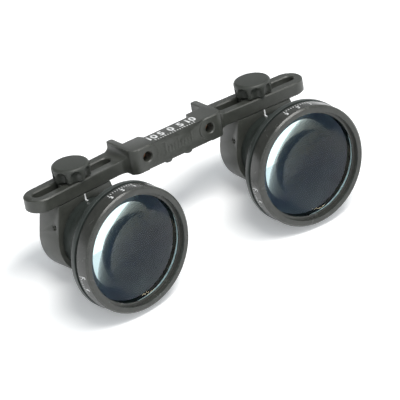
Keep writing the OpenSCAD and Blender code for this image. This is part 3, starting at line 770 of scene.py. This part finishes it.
class LoupesBar(bpy.types.Operator):
    """Rounds the bar's edges and prints the plain scale on its top"""
    bl_idname = "loupes.bar"
    bl_label = "Bar"

    def execute(self, context):
        detail = context.scene.loupes_detail
        settle(milled("bar", "bridge_bar", detail.edge_round), "satin_black", "bridge_bar")
        low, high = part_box("bridge_bar")
        strip = as_place(Vector((0, low.y + STRIP_INSET, high.z)), X, Y)
        parts = [grown("bar_ticks", "row_ticks", strip, "printed_white",
                       count=detail.scale_count, pitch=detail.scale_pitch, width=0.24 * MM,
                       short=0.5 * MM, long=0.9 * MM, thickness=detail.print_height,
                       long_every=TICKS_PER_NUMERAL)]
        for i, number in enumerate(NUMERALS):
            mesh = numeral_mesh(number, detail.numeral_height, detail.print_height)
            shift = (i - len(NUMERALS) // 2) * TICKS_PER_NUMERAL * detail.scale_pitch
            mesh.transform(strip @ Matrix.Translation(
                (shift, NUMERAL_RISE, -detail.print_height / 2)))
            parts.append(linked("numeral", mesh))
        settle(joined("bar_scale", parts), "printed_white", extra="bridge_bar")
        return {"FINISHED"}


# Bushes and pegs

BUSH_ROUND = 0.12 * MM    # rounding of the bushes' edges
PEG_ROUND = 0.08 * MM     # rounding of the pegs' edges
THREAD_RELIEF = 0.18 * MM  # how much wider the bushes are bored for the thread's ridge
THREAD_RIDGE = 0.11 * MM  # radius of the thread's round ridge


class LoupesFixings(bpy.types.Operator):
    """Turns the threaded bushes and the locating pegs"""
    bl_idname = "loupes.fixings"
    bl_label = "Bushes and pegs"

    def execute(self, context):
        low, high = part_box("threaded_bushes")
        outer, length = (high.z - low.z) / 2, high.y - low.y
        reach = (high.x - low.x) / 2 - outer
        places = [as_place(Vector((x, low.y, 0)), X, UP) for x in (-reach, reach)]
        bore = section("threaded_bushes", places[1])[0].min() + THREAD_RELIEF
        corners = [(radius, depth, BUSH_ROUND) for radius, depth in
                   ((bore, 0), (outer, 0), (outer, length), (bore, length))]
        parts = []
        for place in places:
            start = Matrix.Translation(UP * (THREAD_RIDGE - length))
            parts += [turned("bush", rounded(corners), place, 96),
                      grown("thread", "screw_thread", place @ start, "bush_brass", radius=bore,
                            length=length - 2 * THREAD_RIDGE, ridge=THREAD_RIDGE,
                            turns=length / context.scene.loupes_detail.thread_pitch)]
        settle(smoothed(joined("bushes", parts)), "bush_brass", "threaded_bushes")
        settle(milled("pegs", "locating_pegs", PEG_ROUND), "satin_black", "locating_pegs")
        return {"FINISHED"}


# Carriers and clamps

INDEX_WIDTH = 0.4 * MM    # width of a carrier's index line
INDEX_REACH = 1.1 * MM    # how far the line goes on along the barrel


class LoupesCarriers(bpy.types.Operator):
    """Rounds the carriers' edges and finishes the pins and screws in them"""
    bl_idname = "loupes.carriers"
    bl_label = "Carriers"

    def execute(self, context):
        detail = context.scene.loupes_detail
        for side in SIDES:
            node = f"carrier_{side}"
            settle(milled(f"carrier_body_{side}", node, detail.edge_round), "satin_black", node)
            coat(f"guide_pins_{side}", "satin_black")
            coat(f"grub_screws_{side}", "satin_black")
            settle(index_mark(side, detail.print_height), "printed_white", extra=node)
        return {"FINISHED"}


def index_mark(side, height):
    """A plain line down the carrier's front and on along the top of the barrel, half sunk."""
    place = telescope_place(side)
    barrel = wall(f"objective_housing_{side}", place, True)[-1][0]
    top = (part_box(f"carrier_{side}")[1] - place.translation).z
    foot = Vector((0, barrel, -section(f"carrier_{side}", place)[1].min()))
    parts = [grown("line", "row_ticks", place @ as_place(foot, right, up), "printed_white",
                   count=1, pitch=0.0, width=INDEX_WIDTH, long=length, thickness=2 * height,
                   long_every=1)
             for right, up, length in ((X, Y, top - barrel), (-X, UP, INDEX_REACH))]
    return joined(f"index_mark_{side}", parts)


class LoupesClamps(bpy.types.Operator):
    """Softens the clamp knobs and finishes their studs and washers"""
    bl_idname = "loupes.clamps"
    bl_label = "Clamp knobs"

    def execute(self, context):
        edge = context.scene.loupes_detail.knob_round
        for side in SIDES:
            node = f"clamp_knob_{side}"
            settle(milled(f"knob_{side}", node, edge), "moulded_black", node)
            coat(f"clamp_stud_{side}", "stud_steel")
            coat(f"clamp_washer_{side}", "moulded_black")
        return {"FINISHED"}


# Front rings

MARK_STEP = math.radians(2.6)  # angle between two ticks on a ring
MARK_GROUPS = ((math.radians(90), 11), (math.radians(193), 9))  # middle and number of ticks
MARKS_PER_NUMERAL = 5
TICK_BACK = 0.95 * MM     # how far the ticks lie behind the middle of a ring's side
NUMERAL_FRONT = 0.35 * MM  # how far the numerals lie in front of it


class LoupesRings(bpy.types.Operator):
    """Turns the front rings, with the fine knurl on their bevels and plain marks"""
    bl_idname = "loupes.rings"
    bl_label = "Front rings"

    def execute(self, context):
        detail = context.scene.loupes_detail
        for side in SIDES:
            node = f"objective_ring_{side}"
            place = telescope_place(side)
            ring = ring_sizes(node, place)
            settle(turned(f"ring_{side}", ring["outline"], place, 288), "glossy_black", node)
            knurl = grown(
                f"ring_knurl_{side}", "arc_ticks", place, "glossy_black",
                count=detail.knurl_count, radius=ring["radius"] - ring["bevel_width"] / 2,
                start_angle=0.0, step_angle=2 * math.pi / detail.knurl_count,
                depth=ring["bevel_depth"] / 2, width=0.17 * MM, long=0.42 * MM,
                thickness=detail.knurl_depth, long_every=1,
                tilt=-math.atan2(ring["bevel_width"], ring["bevel_depth"]))
            settle(knurl, "glossy_black", extra=node)
            settle(ring_marks(f"ring_marks_{side}", place, ring, detail), "printed_white",
                   extra=node)
            coat(f"ring_seal_{side}", "soft_rubber")
        return {"FINISHED"}


def ring_sizes(node, place):
    """A front ring's sizes, read from its node, and its finely rounded outline."""
    radius, depth = section(node, place)
    outer, bore, end = radius.max(), radius.min(), depth.max()
    front = radius[depth < SAME_DEPTH]
    bezel, bevel_width = front.min(), outer - front.max()
    rim = depth[radius > outer - SAME_DEPTH]
    bevel_depth, length = rim.min(), rim.max()
    lip = depth[radius < bore + SAME_DEPTH]
    rear = radius[depth > end - SAME_DEPTH]
    sleeve, seat = rear.max(), rear.min()
    corners = [(bezel, 0, 0.08 * MM), (outer - bevel_width, 0, 0.05 * MM),
               (outer, bevel_depth, 0.05 * MM), (outer, length, 0.12 * MM), (sleeve, length, 0),
               (sleeve, end, 0.1 * MM), (seat, end, 0.1 * MM), (seat, lip.max(), 0),
               (bore, lip.max(), 0.05 * MM), (bore, lip.min(), 0.08 * MM),
               (bezel, lip.min(), 0)]
    return {"outline": rounded(corners, 4), "radius": outer, "length": length,
            "bevel_width": bevel_width, "bevel_depth": bevel_depth}


def wrapped(mesh, radius, angle, depth):
    """Bends flat lettering round a ring, its top towards the front."""
    for v in mesh.vertices:
        turn = angle - v.co.x / radius
        reach = radius + v.co.z
        v.co = Vector((reach * math.cos(turn), reach * math.sin(turn), v.co.y - depth))
    return mesh


def ring_marks(name, place, ring, detail):
    """Two groups of plain ticks, half sunk, and numerals on a ring's side."""
    middle = (ring["bevel_depth"] + ring["length"]) / 2
    parts = []
    for first, (centre, count) in enumerate(MARK_GROUPS, 1):
        start = centre - MARK_STEP * (count - 1) / 2
        parts.append(grown("ticks", "arc_ticks", place, "printed_white", count=count,
                           radius=ring["radius"], start_angle=start, step_angle=MARK_STEP,
                           depth=middle + TICK_BACK, width=0.15 * MM, short=0.5 * MM,
                           long=0.8 * MM, thickness=2 * detail.print_height,
                           long_every=MARKS_PER_NUMERAL))
        for i in range(0, count, MARKS_PER_NUMERAL):
            mesh = wrapped(numeral_mesh(first + i // MARKS_PER_NUMERAL,
                                        detail.ring_numeral_height, detail.print_height),
                           ring["radius"], start + i * MARK_STEP, middle - NUMERAL_FRONT)
            mesh.transform(place)
            parts.append(linked("numeral", mesh))
    return joined(name, parts)


# Housings and eyepieces

class LoupesHousings(bpy.types.Operator):
    """Turns the flared housings and blackens what is inside them"""
    bl_idname = "loupes.housings"
    bl_label = "Housings"

    def execute(self, context):
        for side in SIDES:
            place = telescope_place(side)
            node = f"objective_housing_{side}"
            settle(turned(f"housing_{side}", housing_outline(node, place), place, 256),
                   "turned_black", node)
            for name in ("objective_retainer", "light_baffle"):
                settle(turned_copy(f"{name}_ring_{side}", f"{name}_{side}", place, 0.06 * MM),
                       "inner_black", f"{name}_{side}")
        return {"FINISHED"}


def wall(node, place, outward):
    """The profile of a turned node's outer or inner wall, as (radius, depth) from the front."""
    mesh = frame["nodes"][node].data
    back = place.inverted()
    corners = set()
    for face in mesh.polygons:
        middle = back @ face.center
        normal = back.to_3x3() @ face.normal
        radial = normal.xy.dot(middle.xy) / middle.xy.length
        if abs(radial) > 0.05 and (radial > 0) == outward:
            corners.update(face.vertices)
    points = [back @ mesh.vertices[i].co for i in corners]
    levels = []
    for radius, depth in sorted(((p.xy.length, -p.z) for p in points), key=lambda p: p[1]):
        if levels and depth - levels[-1][0][1] < 3 * SAME_DEPTH:
            levels[-1].append((radius, depth))
        else:
            levels.append([(radius, depth)])
    run = []
    for level in levels:
        last = run[-1][0] if run else math.inf
        for point in sorted(level, key=lambda p: abs(p[0] - last)):
            if not run or math.dist(run[-1], point) > 3 * SAME_DEPTH:
                run.append(point)
    return run


def softened(outline, edge):
    """An outline's corners with a rounding for each that turns sharply."""
    corners = []
    for i, here in enumerate(outline):
        inward = Vector(here) - Vector(outline[i - 1])
        onward = Vector(outline[(i + 1) % len(outline)]) - Vector(here)
        corners.append((*here, edge if inward.angle(onward) > MILLED_EDGE else 0))
    return corners


def turned_copy(name, node, place, edge):
    """A turned node again, finely divided and with its sharp edges rounded."""
    outline = wall(node, place, True) + wall(node, place, False)[::-1]
    return turned(name, rounded(softened(outline, edge)), place)


def housing_outline(node, place, edge=0.1 * MM):
    """The housing's outline: its outer and inner flares run smoothly through the node's."""
    outer, inner = wall(node, place, True), wall(node, place, False)
    flange, body, neck_end = outer[:2], outer[2:4], outer[-1]
    seat, stop, bore_end = inner[:2], inner[2:4], inner[-1]
    corners = [(*flange[0], edge), (*flange[1], edge), (*body[0], 0), (*body[1], 0)]
    corners += [(r, d, 0) for r, d in smooth_run(outer[3:-1])[1:]]
    corners += [(*neck_end, edge), (*bore_end, edge)]
    corners += [(r, d, 0) for r, d in smooth_run(inner[3:-1])[:0:-1]]
    corners += [(*stop[1], 0), (*stop[0], 0), (*seat[1], 0), (*seat[0], edge)]
    return rounded(corners)


def smooth_run(points, steps=4):
    """Points along a smooth curve that passes through the given ones."""
    run = []
    for i in range(len(points) - 1):
        a, b = np.array(points[i]), np.array(points[i + 1])
        before = np.array(points[i - 1]) if i else 2 * a - b
        after = np.array(points[i + 2]) if i + 2 < len(points) else 2 * b - a
        for k in range(steps):
            t = k / steps
            run.append(tuple(0.5 * (2 * a + (b - before) * t
                                    + (2 * before - 5 * a + 4 * b - after) * t ** 2
                                    + (3 * a - before - 3 * b + after) * t ** 3)))
    return run + [tuple(points[-1])]


class LoupesEyepieces(bpy.types.Operator):
    """Turns the eyepiece tubes and their retaining rings"""
    bl_idname = "loupes.eyepieces"
    bl_label = "Eyepieces"

    def execute(self, context):
        for side in SIDES:
            for name, node, edge, finish in (
                    ("eyepiece", "eyepiece_tube", 0.12 * MM, "turned_black"),
                    ("eyepiece_ring", "eyepiece_retainer", 0.08 * MM, "inner_black")):
                settle(turned_copy(f"{name}_{side}", f"{node}_{side}", telescope_place(side),
                                   edge), finish, f"{node}_{side}")
        return {"FINISHED"}


# Lenses

class LoupesLenses(bpy.types.Operator):
    """Grinds the objective and eyepiece lenses"""
    bl_idname = "loupes.lenses"
    bl_label = "Lenses"

    def execute(self, context):
        for side in SIDES:
            place = telescope_place(side)
            for name, nodes in (("objective", ("objective_crown", "objective_flint")),
                                ("eyepiece", ("eyepiece_lens",))):
                nodes = [f"{node}_{side}" for node in nodes]
                outline, rim = lens_outline(nodes, place)
                glass = settle(turned(f"{name}_glass_{side}", outline, place), "lens_glass",
                               *nodes)
                frost_edge(glass, place, rim)
        return {"FINISHED"}


def frost_edge(glass, place, rim):
    """Gives a lens's straight edge, which lies at its rim, a ground finish."""
    back = place.inverted()
    glass.data.materials.append(material("ground_glass"))
    for face in glass.data.polygons:
        if all((back @ glass.data.vertices[i].co).xy.length > rim - ON_AXIS
               for i in face.vertices):
            face.material_index = 1


def lens_outline(nodes, place, steps=24):
    """The section and radius of a lens cemented from nodes: two round faces and an edge."""
    radius, depth = (np.concatenate(part) for part in
                     zip(*(section(node, place) for node in nodes)))
    rim = radius.max()
    at_rim = depth[radius > rim - SAME_DEPTH]
    on_axis = depth[radius < radius.min() + SAME_DEPTH]

    def face(edge, middle):
        """A round face from its middle to its edge, given by their depths."""
        sag = edge - middle
        bend = (rim * rim + sag * sag) / (2 * sag)
        return [(rim * i / steps, middle + bend - math.copysign(
            math.sqrt(bend * bend - (rim * i / steps) ** 2), bend)) for i in range(steps + 1)]

    return face(at_rim.min(), on_axis.min()) + face(at_rim.max(), on_axis.max())[::-1], rim


# Stage

class LoupesSetStage(bpy.types.Operator):
    """Sets the table, the room, the lamp and the camera"""
    bl_idname = "loupes.stage"
    bl_label = "Stage"

    def execute(self, context):
        stage = context.scene.loupes_stage
        set_camera(context.scene, stage)
        set_table(stage)
        set_world(context.scene, stage)
        set_softbox(stage)
        context.scene.view_settings.view_transform = "Standard"
        return {"FINISHED"}


def set_camera(scene, stage):
    """The camera looks at its aim from the given direction, rolled about its line of sight."""
    camera = linked("camera", configured(bpy.data.cameras.new("camera"), lens=stage.lens,
                                         clip_start=0.01, clip_end=50))
    az, el = stage.azimuth, stage.elevation
    back = Vector((math.sin(az) * math.cos(el), -math.cos(az) * math.cos(el), math.sin(el)))
    right = Vector((math.cos(az), math.sin(az), 0))
    level = as_place(Vector(stage.aim) + back * stage.distance, right, back.cross(right))
    camera.matrix_world = level @ Matrix.Rotation(-stage.roll, 4, "Z")
    scene.camera = camera


def facing(direction):
    """The turn that points Z in a direction."""
    return direction.to_track_quat("Z", "Y").to_matrix().to_4x4()


def set_table(stage):
    """A round white table top that just touches the loupes' lowest points."""
    normal = Vector((0, -math.sin(stage.table_tilt), math.cos(stage.table_tilt)))
    low = min(v.co.dot(normal) for node in frame["nodes"].values() for v in node.data.vertices)
    middle = sum(CAD_BOX, Vector()) / 2
    foot = middle + normal * (low - middle.dot(normal))
    shape = bmesh.new()
    bmesh.ops.create_circle(shape, cap_ends=True, segments=96, radius=stage.table_radius)
    mesh = mesh_from(shape, "table")
    mesh.transform(Matrix.Translation(foot) @ facing(normal))
    mesh.materials.append(table_finish(stage))
    table = linked("table", mesh)


def table_finish(stage):
    """White that looks whiter to the camera than it lights, and is clear from below."""
    made, tree, shader, _ = new_material("table_white")
    ray = tree.nodes.new("ShaderNodeLightPath").outputs
    mirrored = math_node(tree, "MAXIMUM", ray["Is Glossy Ray"], ray["Is Transmission Ray"])
    seen = math_node(tree, "MAXIMUM", ray["Is Camera Ray"], mirrored)
    lifted = [c * stage.table_lift * (1 - stage.table_glow) for c in stage.table_color]
    feed(shader, {"Base Color": blend_color(tree, seen, stage.table_color, lifted),
                  "Emission Color": (*stage.glow_color, 1.0),
                  "Emission Strength": math_node(tree, "MULTIPLY", seen, stage.table_glow),
                  "Roughness": 0.9, "Specular IOR Level": 0.1})
    under = tree.nodes.new("ShaderNodeNewGeometry").outputs["Backfacing"]
    clear = tree.nodes.new("ShaderNodeBsdfTransparent").outputs[0]
    mix = node_in(tree, "ShaderNodeMixShader", {0: under, 1: shader.outputs[0], 2: clear})
    feed(tree.nodes["Material Output"], {"Surface": mix.outputs[0]})
    return made


def fade(tree, place, towards, start, end, least):
    """Light that fades as a direction turns towards a given one, over a range of agreement."""
    agreed = dot_node(tree, place, Vector(towards).normalized())
    return node_in(tree, "ShaderNodeMapRange", {
        "Value": agreed, "From Min": start, "From Max": end, "To Min": 1.0, "To Max": least},
        interpolation_type="SMOOTHSTEP").outputs["Result"]


def set_world(scene, stage):
    """A white room, dimmer behind and overhead. The camera sees it plain white."""
    world = configured(bpy.data.worlds.new("room"), use_nodes=True)
    tree = world.node_tree
    place = tree.nodes.new("ShaderNodeTexCoord").outputs["Generated"]
    seen = tree.nodes.new("ShaderNodeLightPath").outputs["Is Camera Ray"]
    behind = fade(tree, place, stage.back_side, start=-0.5, end=0.8, least=stage.back_light)
    corner = fade(tree, place, stage.dark_side, start=0.78, end=0.95, least=stage.dark_light)
    light = math_node(tree, "MULTIPLY", behind, corner)
    strength = node_in(tree, "ShaderNodeMix", {0: seen, 2: light, 3: 1.0}, data_type="FLOAT")
    feed(tree.nodes["Background"], {
        "Color": blend_color(tree, seen, stage.room_color, (1.0, 1.0, 1.0)),
        "Strength": strength.outputs[0]})
    scene.world = world


def set_softbox(stage):
    """A wide softbox above and to the front, facing the loupes."""
    light = configured(bpy.data.lights.new("softbox", "AREA"), shape="RECTANGLE",
                       size=stage.lamp_width, size_y=stage.lamp_depth,
                       energy=stage.lamp_power, color=stage.lamp_color)
    away = Vector(stage.lamp_side).normalized()
    linked("softbox", light).matrix_world = (
        Matrix.Translation(away * stage.lamp_distance) @ facing(away))


# Panel and registration

class LoupesPanel(bpy.types.Panel):
    """Lists the steps that build the loupes' looks"""
    bl_idname = "VIEW3D_PT_loupes"
    bl_label = "Binocular loupes"
    bl_space_type = "VIEW_3D"
    bl_region_type = "UI"
    bl_category = "Loupes"

    def draw(self, context):
        """Draws a button for each step and a box for each group of settings."""
        for step in STEPS:
            self.layout.operator(step.bl_idname)
        for settings in GROUPS:
            box = self.layout.box()
            group = getattr(context.scene, settings)
            for field in group.__annotations__:
                box.prop(group, field)


STEPS = (LoupesSetStage, LoupesBar, LoupesFixings, LoupesCarriers, LoupesClamps, LoupesRings,
         LoupesHousings, LoupesLenses, LoupesEyepieces)
GROUPS = {"loupes_finish": LoupesFinish, "loupes_detail": LoupesDetail,
          "loupes_stage": LoupesStage}


def register():
    """Registers the classes and gives every scene its settings."""
    for item in (*GROUPS.values(), *STEPS, LoupesPanel):
        bpy.utils.register_class(item)
    for name, kind in GROUPS.items():
        setattr(bpy.types.Scene, name, bpy.props.PointerProperty(type=kind))


def unregister():
    """Takes the settings and the classes away again."""
    for name in GROUPS:
        delattr(bpy.types.Scene, name)
    for item in (LoupesPanel, *reversed(STEPS), *reversed(GROUPS.values())):
        bpy.utils.unregister_class(item)


def main():
    """Runs every step in order."""
    register()
    for step in STEPS:
        area, action = step.bl_idname.split(".")
        getattr(getattr(bpy.ops, area), action)()


if __name__ == "__main__":
    main()
